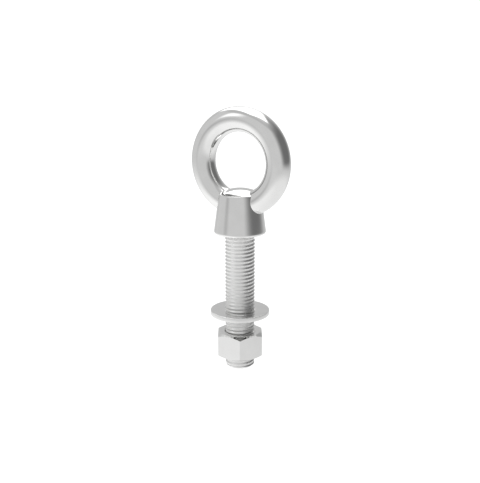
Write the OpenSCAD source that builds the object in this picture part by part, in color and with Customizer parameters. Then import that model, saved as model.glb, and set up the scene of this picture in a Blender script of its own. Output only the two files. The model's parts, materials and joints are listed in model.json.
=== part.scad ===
// Lifting eye bolt with a long threaded shank, a flat washer and a hexagon nut.
// The origin is the centre of the collar's flat underside, on the thread's axis.
// +Z runs up through the eye, and the eye's own plane is XZ.

/* [Eye] */
// Clear diameter inside the ring
ring_inner_d = 40; // [36:1:48]
// Diameter of the ring's round bar
ring_bar_d = 16; // [12:1:20]
// Height of the ring's centre above the collar's underside
ring_centre_z = 47; // [44:1:54]

/* [Collar] */
// Diameter of the cone at the underside, before its edge is rounded
collar_base_d = 35; // [30:0.5:38]
// Diameter of the cone at its upper rim
collar_top_d = 28; // [26:0.5:30]
// Height of the upper rim above the underside
collar_rim_z = 26.4; // [22:0.2:30]
// Rise of the domed top above its rim
dome_rise = 3.8; // [1:0.2:4]
// Radius of the rounded lower edge
base_edge_r = 1.5; // [0.4:0.1:2]

/* [Shank] */
// Nominal thread diameter
thread_d = 20; // [16:1:20]
// Length from the collar's underside to the end of the shank
shank_l = 94; // [90:1:140]
// Width and height of the chamfer at the end of the shank
end_chamfer = 1.6; // [0.5:0.1:2.5]

/* [Washer] */
// Outer diameter
washer_d = 40; // [36:0.5:44]
// Hole diameter
washer_hole_d = 21; // [21:0.5:24]
// Thickness
washer_t = 3; // [2:0.5:4]
// Bevel on the washer's outer edges
washer_bevel = 0.3; // [0.1:0.1:0.5]
// Depth of the upper face below the collar's underside
washer_drop = 53.5; // [5:0.5:56]

/* [Nut] */
// Width across the flats
nut_af = 30; // [28:0.5:32]
// Height
nut_h = 17; // [14:0.5:18]
// Gap between the washer and the nut
nut_gap = 12.3; // [0.5:0.1:13]
// Diameter of the flat bearing circle inside the corner chamfers
nut_face_d = 28.5; // [26:0.5:30]
// Slope of the corner chamfers, in degrees
nut_chamfer_angle = 30; // [15:5:30]
// Depth of the countersink at each end of the thread
nut_countersink = 0.8; // [0.3:0.1:1.5]
// Radial clearance between the nut's bore and the thread's crests
thread_clearance = 0.05; // [0.02:0.01:0.1]

/* [Hidden] */
$fn = 96;
// overlap that makes a cut run cleanly past a face
cut = 1;
ring_r = (ring_inner_d + ring_bar_d) / 2;
thread_r = thread_d / 2;
base_r = collar_base_d / 2;
rim_r = collar_top_d / 2;
// lean of the cone's side from the vertical
lean = atan((base_r - rim_r) / collar_rim_z);
// radius of the sphere whose cap crowns the collar
dome_r = (pow(rim_r, 2) + pow(dome_rise, 2)) / (2 * dome_rise);
dome_z = collar_rim_z + dome_rise;
// centre of the rounded lower edge, tangent to the underside and to the cone
edge_x = base_r - base_edge_r * (tan(lean) + 1 / cos(lean));
washer_z = -washer_drop - washer_t;
nut_z = washer_z - nut_gap - nut_h;
nut_corner_r = nut_af / 2 / cos(30);
nut_face_r = nut_face_d / 2;
bore_r = thread_r + thread_clearance;

// Round bar bent into a closed ring, standing in the XZ plane.
module ring() {
    translate([0, 0, ring_centre_z])
        rotate([90, 0, 0])
            rotate_extrude()
                translate([ring_r, 0])
                    circle(d = ring_bar_d);
}

// Outline of half the cone, with its lower outer edge rounded.
module cone_outline() {
    edge_z = base_edge_r;
    tangent_x = edge_x + base_edge_r * cos(lean);
    tangent_z = edge_z + base_edge_r * sin(lean);
    top_x = base_r - dome_z * tan(lean);
    polygon([
        [0, 0],
        [edge_x, 0],
        [edge_x, edge_z],
        [tangent_x, tangent_z],
        [top_x, dome_z],
        [0, dome_z]
    ]);
    intersection() {
        translate([edge_x, edge_z])
            circle(r = base_edge_r);
        translate([edge_x, 0])
            square(2 * base_edge_r);
    }
}

// Conical collar crowned with a shallow spherical cap.
module collar() {
    intersection() {
        rotate_extrude()
            cone_outline();
        translate([0, 0, dome_z - dome_r])
            sphere(r = dome_r);
    }
}

// Shank at the thread's major diameter, with a chamfered end.
module shank() {
    translate([0, 0, -shank_l + end_chamfer])
        cylinder(h = shank_l - end_chamfer + cut, r = thread_r);
    translate([0, 0, -shank_l])
        cylinder(h = end_chamfer, r1 = thread_r - end_chamfer, r2 = thread_r);
}

// Ring, collar and shank are one forging.
module eye_bolt() {
    color("gainsboro")
        union() {
            ring();
            collar();
            shank();
        }
}

// Bevelled disc with a clearance hole.
module flat_washer() {
    r = washer_d / 2;
    color("silver")
        translate([0, 0, washer_z])
            difference() {
                union() {
                    cylinder(h = washer_bevel, r1 = r - washer_bevel, r2 = r);
                    translate([0, 0, washer_bevel])
                        cylinder(h = washer_t - 2 * washer_bevel, r = r);
                    translate([0, 0, washer_t - washer_bevel])
                        cylinder(h = washer_bevel, r1 = r, r2 = r - washer_bevel);
                }
                translate([0, 0, -cut])
                    cylinder(h = washer_t + 2 * cut, d = washer_hole_d);
            }
}

// Solid of revolution that takes the corners off one half of the nut.
module nut_blank_half() {
    slope_h = nut_h / 2;
    wide_r = nut_face_r + slope_h / tan(nut_chamfer_angle);
    cylinder(h = slope_h, r1 = wide_r, r2 = nut_face_r);
}

// Widening at the mouth of the nut's thread, from z = 0 down.
module countersink() {
    rotate([180, 0, 0])
        cylinder(h = nut_countersink, r1 = bore_r + nut_countersink, r2 = bore_r);
}

// Hexagon nut, chamfered and countersunk at both ends, with corners on the X axis.
module hex_nut() {
    color("lightgray")
        translate([0, 0, nut_z + nut_h / 2])
            difference() {
                intersection() {
                    cylinder(h = nut_h, r = nut_corner_r, center = true, $fn = 6);
                    union() {
                        nut_blank_half();
                        mirror([0, 0, 1])
                            nut_blank_half();
                    }
                }
                cylinder(h = nut_h + 2 * cut, r = bore_r, center = true);
                translate([0, 0, nut_h / 2])
                    countersink();
                mirror([0, 0, 1])
                    translate([0, 0, nut_h / 2])
                        countersink();
            }
}

eye_bolt();
flat_washer();
hex_nut();
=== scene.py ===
"""Lifting eye bolt with its washer and nut: polished stainless steel in a plain white studio.

The frame gives every position. The meshes add what the exact solids leave out: the
right-handed M20 thread on the shank and in the nut, and the broken edges of each piece.
"""

import json
import math

import bpy
import bmesh
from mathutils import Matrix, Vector


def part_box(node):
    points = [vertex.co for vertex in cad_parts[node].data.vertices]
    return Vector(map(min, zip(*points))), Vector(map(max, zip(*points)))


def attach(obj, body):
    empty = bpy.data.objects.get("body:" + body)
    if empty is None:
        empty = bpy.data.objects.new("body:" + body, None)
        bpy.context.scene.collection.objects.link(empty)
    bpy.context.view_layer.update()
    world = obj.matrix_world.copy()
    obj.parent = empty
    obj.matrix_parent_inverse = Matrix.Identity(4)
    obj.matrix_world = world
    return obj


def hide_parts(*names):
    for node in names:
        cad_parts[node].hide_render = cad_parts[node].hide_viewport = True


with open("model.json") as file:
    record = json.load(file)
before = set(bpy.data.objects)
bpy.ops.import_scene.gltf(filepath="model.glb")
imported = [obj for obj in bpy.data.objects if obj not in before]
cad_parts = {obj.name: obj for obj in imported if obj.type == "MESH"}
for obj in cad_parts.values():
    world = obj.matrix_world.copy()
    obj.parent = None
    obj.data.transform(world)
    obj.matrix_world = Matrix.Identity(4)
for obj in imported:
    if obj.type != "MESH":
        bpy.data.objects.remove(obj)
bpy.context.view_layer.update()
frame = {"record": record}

MM = 0.001
TURN = 2 * math.pi

# ---------------------------------------------------------------- sizes, in metres
mounts = {mount["name"]: mount["pos_m"] for mount in frame["record"]["mounts"]}
bolt_low, bolt_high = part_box("eye_bolt")
washer_low, washer_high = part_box("flat_washer")
nut_low, nut_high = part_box("hex_nut")

# the eye: a ring of round bar standing in the XZ plane
ring_z = mounts["eye"][2]
bar_r = 8 * MM
ring_r = bolt_high[0] - bar_r

# the collar: a cone with a domed top
collar_base_r = 17.5 * MM
collar_rim_r = 14 * MM
collar_rim_z = 26.4 * MM
dome_rise = 3.8 * MM
foot_edge = 1.5 * MM
rim_edge = 0.25 * MM

# the thread: right-handed, M20 coarse pitch, with rounded crests and roots.
# A real M20 thread is 1.53 mm deep. This one is shallower, because the photograph's looks so.
thread_r = 10 * MM
pitch = 2.5 * MM
thread_depth = 0.6 * MM
end_chamfer = 1.6 * MM
shank_end = bolt_low[2]

# the washer
washer_r = washer_high[0]
washer_hole_r = 10.5 * MM
washer_edge = 0.3 * MM

# the nut
nut_flat_r = nut_high[1]
nut_face_r = 14.25 * MM
nut_corner_edge = 0.45 * MM
nut_slope = math.tan(math.radians(30))
nut_clearance = 0.06 * MM
countersink_r = 10.85 * MM

# the floor lies just under the nut at the lower end of its travel
joints = {joint["name"]: joint for joint in frame["record"]["behaviour"]["joints"]}
floor_z = nut_low[2] + joints["washer_slide"]["range_m"][0] - 1 * MM

# mesh density
SHANK_COLUMNS = 120
RING_STEPS = 256
BAR_STEPS = 96
WASHER_COLUMNS = 192
THREAD_ROWS = 12       # in one turn of thread
DOME_STEPS = 40
CONE_STEPS = 24
FOOT_STEPS = 10
WASHER_EDGE_STEPS = 6
NUT_FLAT_STEPS = 22

# creases: a surface that turns by more degrees than this has a sharp edge
BOLT_CREASE = 32
CREASE = 27

# the camera stands to the front right of the eye and looks a little down
CAMERA_AZIMUTH = math.radians(29.85)
CAMERA_ELEVATION = math.radians(13.75)
CAMERA_DISTANCE = 0.4684
CAMERA_TARGET = Vector((0, 0, -0.006))
CAMERA_LENS = 52.17


# ---------------------------------------------------------------- outlines, as (radius, height)
def arc(centre, radius, start, end, steps):
    """Points along an arc, from angle start to angle end, in degrees."""
    points = []
    for i in range(steps + 1):
        angle = math.radians(start + (end - start) * i / steps)
        points.append((centre[0] + radius * math.cos(angle), centre[1] + radius * math.sin(angle)))
    return points


def between(start, end, steps):
    """Evenly spaced points between two points, without either end."""
    shares = [i / steps for i in range(1, steps)]
    return [
        (start[0] + (end[0] - start[0]) * s, start[1] + (end[1] - start[1]) * s)
        for s in shares
    ]


def bolt_thread(height):
    """Radius of the external thread, at a height that has had the helix taken out."""
    return thread_r - thread_depth * (1 - math.cos(TURN * height / pitch)) / 2


def nut_thread(height):
    """Radius of the internal thread, which clears the bolt's thread all along."""
    return bolt_thread(height) + nut_clearance


def helix_rows(low, high):
    """Heights at which the mesh rows start, enough to cover low to high in every column."""
    turns = range(math.floor(low / pitch) - 1, math.ceil(high / pitch) + 1)
    return [pitch * (turn + row / THREAD_ROWS) for turn in turns for row in range(THREAD_ROWS)]


def helix_column(low, high, share_of_turn, radius_at):
    """One column of a threaded wall, cut off level at low and high."""
    rise = pitch * share_of_turn
    column = []
    for start in helix_rows(low, high):
        height = min(max(start + rise, low), high)
        column.append((radius_at(height - rise, height), height))
    return column


# ---------------------------------------------------------------- mesh building
def turned_mesh(angles, columns, closed, helix=None):
    """A surface round the Z axis, from one outline of (radius, height) points at each angle.

    Outlines are joined row by row. helix gives the first and last row of a threaded stretch,
    where the last column meets the first one pitch further up.
    """
    bm = bmesh.new()
    grid = []
    for angle, column in zip(angles, columns):
        points = [(r * math.cos(angle), r * math.sin(angle), z) for r, z in column]
        grid.append([bm.verts.new(point) for point in points])
    rows = len(columns[0])
    seam = list(range(rows))
    if helix:
        first, last = helix
        for row in range(first, last + 1):
            seam[row] = min(row + THREAD_ROWS, last)
    level = list(range(rows))
    for c, column in enumerate(grid):
        at_seam = c + 1 == len(grid)
        following = grid[0] if at_seam else grid[c + 1]
        partner = seam if at_seam else level
        for row in range(rows if closed else rows - 1):
            above = (row + 1) % rows
            corners = (
                column[row],
                following[partner[row]],
                following[partner[above]],
                column[above],
            )
            bm.faces.new(dict.fromkeys(corners))
    return bm


def ring_mesh():
    """The eye's round bar, bent into a closed ring."""
    bm = bmesh.new()
    grid = []
    for i in range(RING_STEPS):
        along = TURN * i / RING_STEPS
        loop = []
        for j in range(BAR_STEPS):
            around = TURN * j / BAR_STEPS
            reach = ring_r + bar_r * math.cos(around)
            loop.append(bm.verts.new((
                reach * math.cos(along),
                bar_r * math.sin(around),
                ring_z + reach * math.sin(along),
            )))
        grid.append(loop)
    for i, loop in enumerate(grid):
        following = grid[(i + 1) % RING_STEPS]
        for j in range(BAR_STEPS):
            k = (j + 1) % BAR_STEPS
            bm.faces.new((loop[j], following[j], following[k], loop[k]))
    return bm


def mesh_object(bm, name, crease_angle):
    """Turns a bmesh into an object: no doubles, normals outwards, sharp only at real edges."""
    bmesh.ops.remove_doubles(bm, verts=bm.verts, dist=0.001 * MM)
    bmesh.ops.recalc_face_normals(bm, faces=bm.faces)
    mesh = bpy.data.meshes.new(name)
    bm.to_mesh(mesh)
    bm.free()
    obj = bpy.data.objects.new(name, mesh)
    bpy.context.scene.collection.objects.link(obj)
    shade(obj, crease_angle)
    return obj


def shade(obj, crease_angle):
    """Smooth shading, broken only where the surface turns by more than the crease angle."""
    obj.data.shade_smooth()
    obj.data.set_sharp_from_angle(angle=math.radians(crease_angle))


def join_solid(obj, other, crease_angle):
    """Makes obj the union of itself and other, and removes other."""
    union = obj.modifiers.new("union", "BOOLEAN")
    union.operation = "UNION"
    union.solver = "MANIFOLD"
    union.object = other
    evaluated = obj.evaluated_get(bpy.context.evaluated_depsgraph_get())
    joined = bpy.data.meshes.new_from_object(evaluated)
    obj.modifiers.clear()
    obj.data = joined
    bpy.data.objects.remove(other)
    shade(obj, crease_angle)


# ---------------------------------------------------------------- the three pieces
def collar_outline():
    """From the underside's flat, round the foot and up the cone, to the top of the dome."""
    lean = math.atan((collar_base_r - collar_rim_r) / collar_rim_z)
    lean_deg = math.degrees(lean)
    foot_x = collar_base_r - foot_edge * (math.tan(lean) + 1 / math.cos(lean))
    foot = arc((foot_x, foot_edge), foot_edge, -90, lean_deg, FOOT_STEPS)

    # the dome starts a little inside the rim, to leave room for the rim's broken edge
    dome_r = (collar_rim_r ** 2 + dome_rise ** 2) / (2 * dome_rise)
    dome_centre = (0, collar_rim_z + dome_rise - dome_r)
    dome_tilt = math.degrees(math.asin(collar_rim_r / dome_r))
    dome_start = 90 - dome_tilt + math.degrees(rim_edge / dome_r)
    dome = arc(dome_centre, dome_r, dome_start, 90, DOME_STEPS)

    rim = (collar_rim_r, collar_rim_z)
    below = (rim[0] + rim_edge * math.sin(lean), rim[1] - rim_edge * math.cos(lean))
    after = dome[0]
    middle = (
        0.25 * below[0] + 0.5 * rim[0] + 0.25 * after[0],
        0.25 * below[1] + 0.5 * rim[1] + 0.25 * after[1],
    )
    cone = between(foot[-1], below, CONE_STEPS)
    return foot + cone + [below, middle] + dome


def make_eye_bolt():
    """Ring, collar and threaded shank as one forging."""
    def shank_radius(thread_height, height):
        return min(bolt_thread(thread_height), thread_r - end_chamfer + height - shank_end)

    collar = collar_outline()
    angles = []
    columns = []
    for c in range(SHANK_COLUMNS):
        share = c / SHANK_COLUMNS
        shank = helix_column(shank_end, 0, share, shank_radius)
        angles.append(TURN * share)
        columns.append([(0, shank_end)] + shank + collar)
    helix = (1, len(shank))
    body = turned_mesh(angles, columns, closed=False, helix=helix)
    obj = mesh_object(body, "eye_bolt_forging", BOLT_CREASE)
    ring = mesh_object(ring_mesh(), "ring_bar", BOLT_CREASE)
    join_solid(obj, ring, BOLT_CREASE)
    return obj


def make_washer():
    """Punched washer: a flat disc whose four edges are rounded."""
    low = washer_low[2]
    high = washer_high[2]
    e = washer_edge
    outline = (
        arc((washer_r - e, low + e), e, -90, 0, WASHER_EDGE_STEPS)
        + arc((washer_r - e, high - e), e, 0, 90, WASHER_EDGE_STEPS)
        + arc((washer_hole_r + e, high - e), e, 90, 180, WASHER_EDGE_STEPS)
        + arc((washer_hole_r + e, low + e), e, 180, 270, WASHER_EDGE_STEPS)
    )
    angles = [TURN * c / WASHER_COLUMNS for c in range(WASHER_COLUMNS)]
    body = turned_mesh(angles, [outline] * WASHER_COLUMNS, closed=True)
    return mesh_object(body, "flat_washer_disc", CREASE)


def nut_corner():
    """Distance from the axis to the centre of a corner's rounding, and half the angle it spans."""
    centre = (nut_flat_r - nut_corner_edge) / math.cos(math.radians(30))
    half_span = math.atan2(
        nut_corner_edge * math.sin(math.radians(30)),
        centre + nut_corner_edge * math.cos(math.radians(30)),
    )
    return centre, half_span


def hexagon_radius(angle):
    """Distance from the axis to the nut's side, with the six corners rounded."""
    sixth = TURN / 6
    off_corner = abs((angle + sixth / 2) % sixth - sixth / 2)
    centre, half_span = nut_corner()
    if off_corner >= half_span:
        return nut_flat_r / math.cos(sixth / 2 - off_corner)
    across = centre * math.sin(off_corner)
    return centre * math.cos(off_corner) + math.sqrt(nut_corner_edge ** 2 - across ** 2)


def nut_angles():
    """Angles of the nut's columns: close together on each rounded corner, even on the flats."""
    sixth = TURN / 6
    half_span = nut_corner()[1]
    flat = sixth - 2 * half_span
    offsets = [0, half_span / 2]
    offsets += [half_span + flat * i / NUT_FLAT_STEPS for i in range(NUT_FLAT_STEPS + 1)]
    offsets += [sixth - half_span / 2]
    return [sixth * side + offset for side in range(6) for offset in offsets]


def make_nut():
    """Hexagon nut with chamfered corners, a tapped hole and a countersink at each end."""
    low = nut_low[2]
    high = nut_high[2]

    def bore_radius(thread_height, height):
        depth = min(height - low, high - height)
        return max(nut_thread(thread_height), countersink_r - depth)

    angles = nut_angles()
    columns = []
    for angle in angles:
        bore = helix_column(low, high, angle / TURN, bore_radius)
        side_r = hexagon_radius(angle)
        drop = (side_r - nut_face_r) * nut_slope
        face_top = (nut_face_r, high)
        side_top = (side_r, high - drop)
        side_bottom = (side_r, low + drop)
        face_bottom = (nut_face_r, low)
        outside = (
            [face_top]
            + between(face_top, side_top, 3)
            + [side_top]
            + between(side_top, side_bottom, 4)
            + [side_bottom]
            + between(side_bottom, face_bottom, 3)
            + [face_bottom]
        )
        columns.append(bore + outside)
    helix = (0, len(bore) - 1)
    body = turned_mesh(angles, columns, closed=True, helix=helix)
    return mesh_object(body, "hex_nut_tapped", CREASE)


# ---------------------------------------------------------------- node helpers
def link(tree, value, socket):
    """Feeds a socket from another socket, or sets it to a plain value."""
    if isinstance(value, bpy.types.NodeSocket):
        tree.links.new(value, socket)
    else:
        socket.default_value = value


def calc(tree, operation, *values):
    """A Math node on sockets or numbers."""
    node = tree.nodes.new("ShaderNodeMath")
    node.operation = operation
    for value, socket in zip(values, node.inputs):
        link(tree, value, socket)
    return node.outputs[0]


def towards(tree, direction, vector):
    """The dot product of a direction socket with a fixed vector."""
    node = tree.nodes.new("ShaderNodeVectorMath")
    node.operation = "DOT_PRODUCT"
    tree.links.new(direction, node.inputs[0])
    node.inputs[1].default_value = vector
    return node.outputs["Value"]


def fade(tree, value, start, end):
    """0 at start and 1 at end, with a smooth change between."""
    node = tree.nodes.new("ShaderNodeMapRange")
    node.interpolation_type = "SMOOTHSTEP"
    node.clamp = True
    link(tree, value, node.inputs["Value"])
    node.inputs["From Min"].default_value = start
    node.inputs["From Max"].default_value = end
    return node.outputs["Result"]


def noise(tree, coordinates, scale, detail, stretch=(1, 1, 1)):
    """Noise at a scale per metre, stretched along the axes."""
    mapping = tree.nodes.new("ShaderNodeMapping")
    mapping.inputs["Scale"].default_value = stretch
    tree.links.new(coordinates, mapping.inputs["Vector"])
    node = tree.nodes.new("ShaderNodeTexNoise")
    node.inputs["Scale"].default_value = scale
    node.inputs["Detail"].default_value = detail
    tree.links.new(mapping.outputs[0], node.inputs["Vector"])
    return node.outputs["Fac"]


# ---------------------------------------------------------------- materials
# sizes of the noises in the steel, per metre
CLOUD_SCALE = 120
GRAIN_SCALE = 2600
PIT_SCALE = 5200
PIT_SHARE = 0.4        # of the grain's height


def steel(name, light, dark, smooth, rough, grain_stretch, grain_height, rolled=0):
    """Stainless steel: fine polishing grain, faint clouding of the polish, and small pits.

    light and dark bound the colour, smooth and rough the roughness. rolled is the extra
    roughness below the collar, on the rolled thread.
    """
    material = bpy.data.materials.new(name)
    material.use_nodes = True
    tree = material.node_tree
    shader = tree.nodes["Principled BSDF"]
    shader.inputs["Metallic"].default_value = 1
    place = tree.nodes.new("ShaderNodeTexCoord").outputs["Object"]

    clouds = noise(tree, place, CLOUD_SCALE, 3)
    grain = noise(tree, place, GRAIN_SCALE, 4, grain_stretch)
    pits = noise(tree, place, PIT_SCALE, 2)

    tone = tree.nodes.new("ShaderNodeMix")
    tone.data_type = "RGBA"
    tone.inputs["A"].default_value = (*dark, 1)
    tone.inputs["B"].default_value = (*light, 1)
    tree.links.new(fade(tree, clouds, 0.25, 0.75), tone.inputs["Factor"])
    tree.links.new(tone.outputs["Result"], shader.inputs["Base Color"])

    mixed = calc(tree, "ADD", calc(tree, "MULTIPLY", clouds, 0.5), calc(tree, "MULTIPLY", grain, 0.5))
    span = calc(tree, "MULTIPLY", fade(tree, mixed, 0.3, 0.7), rough - smooth)
    below_collar = fade(tree, towards(tree, place, (0, 0, 1)), 0.3 * MM, -0.3 * MM)
    base = calc(tree, "ADD", calc(tree, "MULTIPLY", below_collar, rolled), smooth)
    tree.links.new(calc(tree, "ADD", span, base), shader.inputs["Roughness"])

    relief = calc(tree, "ADD", grain, calc(tree, "MULTIPLY", pits, PIT_SHARE))
    bump = tree.nodes.new("ShaderNodeBump")
    bump.inputs["Strength"].default_value = 1
    bump.inputs["Distance"].default_value = grain_height
    tree.links.new(relief, bump.inputs["Height"])
    tree.links.new(bump.outputs["Normal"], shader.inputs["Normal"])
    return material


def paint(obj, material):
    """Gives a piece its one material."""
    obj.data.materials.clear()
    obj.data.materials.append(material)


# ---------------------------------------------------------------- the studio
ROOM_LIGHT = 0.725     # strength of the room, apart from its dimmer and brighter parts
BACKDROP_WHITE = 1.2   # strength of what the camera sees directly
FLOOR_HALF = 4.0


def direction(azimuth, elevation):
    """Unit vector in the studio's own axes: azimuth 0 is the camera's side, 90 the picture's right."""
    a = math.radians(azimuth)
    e = math.radians(elevation)
    return Vector((math.sin(a) * math.cos(e), -math.cos(a) * math.cos(e), math.sin(e)))


def panel(tree, view, azimuth, elevation, half_width, half_height, soft):
    """1 inside a soft-edged rectangular panel that faces the object, seen in a given direction."""
    facing = direction(azimuth, elevation)
    side = Vector((0, 0, 1)).cross(facing).normalized()
    up = facing.cross(side)
    depth = calc(tree, "MAXIMUM", towards(tree, view, facing), 0.001)
    across = calc(tree, "ABSOLUTE", calc(tree, "DIVIDE", towards(tree, view, side), depth))
    along = calc(tree, "ABSOLUTE", calc(tree, "DIVIDE", towards(tree, view, up), depth))
    inside_w = fade(tree, across, half_width + soft, half_width - soft)
    inside_h = fade(tree, along, half_height + soft, half_height - soft)
    in_front = fade(tree, towards(tree, view, facing), 0.0, 0.05)
    return calc(tree, "MULTIPLY", calc(tree, "MULTIPLY", inside_w, inside_h), in_front)


def lobe(tree, view, azimuth, elevation, sharpness):
    """1 in one direction, falling smoothly to 0 at right angles to it."""
    facing = calc(tree, "MAXIMUM", towards(tree, view, direction(azimuth, elevation)), 0)
    return calc(tree, "POWER", facing, sharpness)


def dim_parts(tree, view, height):
    """The dimmer parts of the room, each as the share of the light that it takes away."""
    def scaled(value, amount):
        return calc(tree, "MULTIPLY", value, amount)

    def dim_panel(azimuth, elevation, half_width, half_height, soft, amount):
        return scaled(panel(tree, view, azimuth, elevation, half_width, half_height, soft), amount)

    towards_right = fade(tree, towards(tree, view, direction(84, 20)), 0.33, 0.93)
    above_floor = fade(tree, height, -0.28, -0.01)
    below_ceiling = fade(tree, height, 1.12, 0.66)
    right_side = scaled(scaled(towards_right, scaled(above_floor, below_ceiling)), 0.74)
    under_ceiling = scaled(fade(tree, height, 0.70, 0.80), fade(tree, height, 0.95, 0.86))
    behind_object = scaled(lobe(tree, view, 180, -10, 40), 0.45)
    return [
        right_side,
        dim_panel(145, 15, 0.20, 0.45, 0.24, 0.24),      # the right side's edge, towards the back
        scaled(under_ceiling, 0.18),
        dim_panel(-68, 2, 0.15, 0.12, 0.16, 0.26),       # a narrow strip on the left
        dim_panel(-142, 12, 0.16, 0.45, 0.16, 0.14),     # a taller strip at the back left
        behind_object,
        dim_panel(180, 18, 0.40, 0.20, 0.14, 0.14),      # the back wall, above the object
    ]


def bright_parts(tree, view, height):
    """The brighter parts of the room, each as the light that it adds."""
    def scaled(value, amount):
        return calc(tree, "MULTIPLY", value, amount)

    ceiling_panel = scaled(panel(tree, view, -174, 67, 0.42, 0.72, 0.10), 1.6)
    left_softbox = scaled(panel(tree, view, -70, 34, 0.17, 0.20, 0.12), 0.70)
    floor_glow = scaled(fade(tree, height, -0.22, -0.54), 0.25)
    near_floor = fade(tree, height, -0.05, -0.35)
    left_floor_glow = scaled(scaled(lobe(tree, view, -100, -35, 1.5), near_floor), 0.22)
    return [ceiling_panel, left_softbox, floor_glow, left_floor_glow]


def make_world():
    """A white room: overhead panel, softbox on the left, dim side on the right, bright floor."""
    world = bpy.data.worlds.new("studio")
    world.use_nodes = True
    bpy.context.scene.world = world
    tree = world.node_tree
    tree.nodes.clear()

    turn = tree.nodes.new("ShaderNodeVectorRotate")
    turn.rotation_type = "Z_AXIS"
    turn.inputs["Angle"].default_value = -CAMERA_AZIMUTH
    tree.links.new(tree.nodes.new("ShaderNodeTexCoord").outputs["Generated"], turn.inputs["Vector"])
    view = turn.outputs["Vector"]
    height = towards(tree, view, (0, 0, 1))

    light = ROOM_LIGHT
    for part in dim_parts(tree, view, height):
        light = calc(tree, "MULTIPLY", light, calc(tree, "SUBTRACT", 1, part))
    for part in bright_parts(tree, view, height):
        light = calc(tree, "ADD", light, part)

    # what the camera sees directly is plain white
    seen = tree.nodes.new("ShaderNodeLightPath").outputs["Is Camera Ray"]
    mix = tree.nodes.new("ShaderNodeMix")
    tree.links.new(seen, mix.inputs["Factor"])
    tree.links.new(light, mix.inputs["A"])
    mix.inputs["B"].default_value = BACKDROP_WHITE
    background = tree.nodes.new("ShaderNodeBackground")
    background.inputs["Color"].default_value = (1, 1, 1, 1)
    tree.links.new(mix.outputs["Result"], background.inputs["Strength"])
    output = tree.nodes.new("ShaderNodeOutputWorld")
    tree.links.new(background.outputs[0], output.inputs["Surface"])


def make_floor():
    """A plain white floor below the nut's travel. The steel reflects the room's own floor glow."""
    half = FLOOR_HALF
    bm = bmesh.new()
    corners = [(-half, -half), (half, -half), (half, half), (-half, half)]
    bm.faces.new([bm.verts.new((x, y, floor_z)) for x, y in corners])
    mesh = bpy.data.meshes.new("floor")
    bm.to_mesh(mesh)
    bm.free()
    floor = bpy.data.objects.new("floor", mesh)
    bpy.context.scene.collection.objects.link(floor)

    material = bpy.data.materials.new("floor_white")
    material.use_nodes = True
    tree = material.node_tree
    tree.nodes.clear()
    white = tree.nodes.new("ShaderNodeEmission")
    white.inputs["Strength"].default_value = BACKDROP_WHITE
    clear = tree.nodes.new("ShaderNodeBsdfTransparent")
    mix = tree.nodes.new("ShaderNodeMixShader")
    # it shows from above to the camera only, so that the object can be seen from below
    from_above = calc(tree, "SUBTRACT", 1, tree.nodes.new("ShaderNodeNewGeometry").outputs["Backfacing"])
    seen = tree.nodes.new("ShaderNodeLightPath").outputs["Is Camera Ray"]
    tree.links.new(calc(tree, "MULTIPLY", from_above, seen), mix.inputs["Fac"])
    tree.links.new(clear.outputs[0], mix.inputs[1])
    tree.links.new(white.outputs[0], mix.inputs[2])
    output = tree.nodes.new("ShaderNodeOutputMaterial")
    tree.links.new(mix.outputs[0], output.inputs["Surface"])
    paint(floor, material)


def make_camera():
    """The photograph's viewpoint: to the front right of the eye, looking a little down."""
    data = bpy.data.cameras.new("camera")
    data.lens = CAMERA_LENS
    data.sensor_width = 36
    data.clip_start = 0.01
    camera = bpy.data.objects.new("camera", data)
    bpy.context.scene.collection.objects.link(camera)
    back = Vector((
        math.sin(CAMERA_AZIMUTH) * math.cos(CAMERA_ELEVATION),
        -math.cos(CAMERA_AZIMUTH) * math.cos(CAMERA_ELEVATION),
        math.sin(CAMERA_ELEVATION),
    ))
    camera.location = CAMERA_TARGET + back * CAMERA_DISTANCE
    camera.rotation_euler = back.to_track_quat("Z", "Y").to_euler()
    bpy.context.scene.camera = camera


# ---------------------------------------------------------------- putting it together
def place(obj, body, node, slot_name, material):
    """A finished piece takes a CAD node's place on its body."""
    paint(obj, material)
    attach(obj, body)
    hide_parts(node)


bolt_steel = steel(
    "polished_steel", (0.78, 0.78, 0.775), (0.75, 0.75, 0.745), 0.05, 0.09,
    (1, 1, 1), 0.0004 * MM, rolled=0.26,
)
washer_steel = steel(
    "washer_steel", (0.77, 0.77, 0.765), (0.74, 0.74, 0.735), 0.05, 0.10,
    (1, 1, 4), 0.0003 * MM,
)
nut_steel = steel(
    "nut_steel", (0.77, 0.77, 0.765), (0.74, 0.74, 0.735), 0.05, 0.11,
    (1, 1, 4), 0.0003 * MM,
)
place(make_eye_bolt(), "bolt", "eye_bolt", "bolt_steel", bolt_steel)
place(make_washer(), "washer", "flat_washer", "washer_steel", washer_steel)
place(make_nut(), "nut", "hex_nut", "nut_steel", nut_steel)

make_world()
make_floor()
make_camera()
bpy.context.scene.view_settings.view_transform = "Standard"
